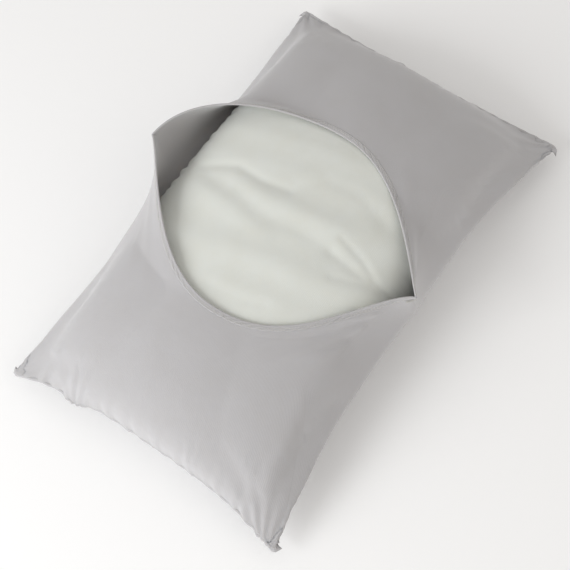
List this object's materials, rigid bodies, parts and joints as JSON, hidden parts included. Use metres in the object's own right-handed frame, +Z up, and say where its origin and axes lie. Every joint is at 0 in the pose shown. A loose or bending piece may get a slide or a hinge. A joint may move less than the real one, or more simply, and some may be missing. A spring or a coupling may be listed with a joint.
{
  "type": "bed pillow",
  "caption": "Soft rectangular bed pillow: a filled insert in a stretch-knit cover whose mouth is held open across the middle of the top face.",
  "frame": {"origin": "on the resting surface, under the middle of the pillow", "axes": "+X along the length to the rear end, +Y to the left long side, +Z up"},
  "size_m": [0.59, 0.372, 0.142],
  "materials": {
    "cover_knit": "matte",
    "cover_thread": "matte",
    "label_tape": "matte",
    "insert_cotton": "matte",
    "insert_thread": "matte",
    "polyester_fibre": "matte"
  },
  "bodies": {
    "cover": {"cover_bottom_panel": "cover_knit", "cover_front_panel": "cover_knit", "cover_rear_panel": "cover_knit", "front_mouth_hem": "cover_knit", "rear_mouth_hem": "cover_knit", "front_hem_thread": "cover_thread", "rear_hem_thread": "cover_thread", "left_mouth_tack": "cover_thread", "right_mouth_tack": "cover_thread", "front_end_seam": "cover_knit", "rear_end_seam": "cover_knit", "cover_care_label": "label_tape"},
    "insert": {"insert_top_casing": "insert_cotton", "insert_bottom_casing": "insert_cotton", "insert_edge_seam": "insert_cotton", "insert_closing_thread": "insert_thread", "insert_fibre_filling": "polyester_fibre", "insert_care_label": "label_tape"}
  },
  "joints": [
    {"name": "insert_lift", "type": "slide", "parent": "cover", "child": "insert", "axis": [0, 0, 1], "range_m": [0, 0.2], "deforming": ["cover_front_panel", "cover_rear_panel", "front_mouth_hem", "rear_mouth_hem", "front_hem_thread", "rear_hem_thread", "left_mouth_tack", "right_mouth_tack", "cover_care_label"]}
  ]
}
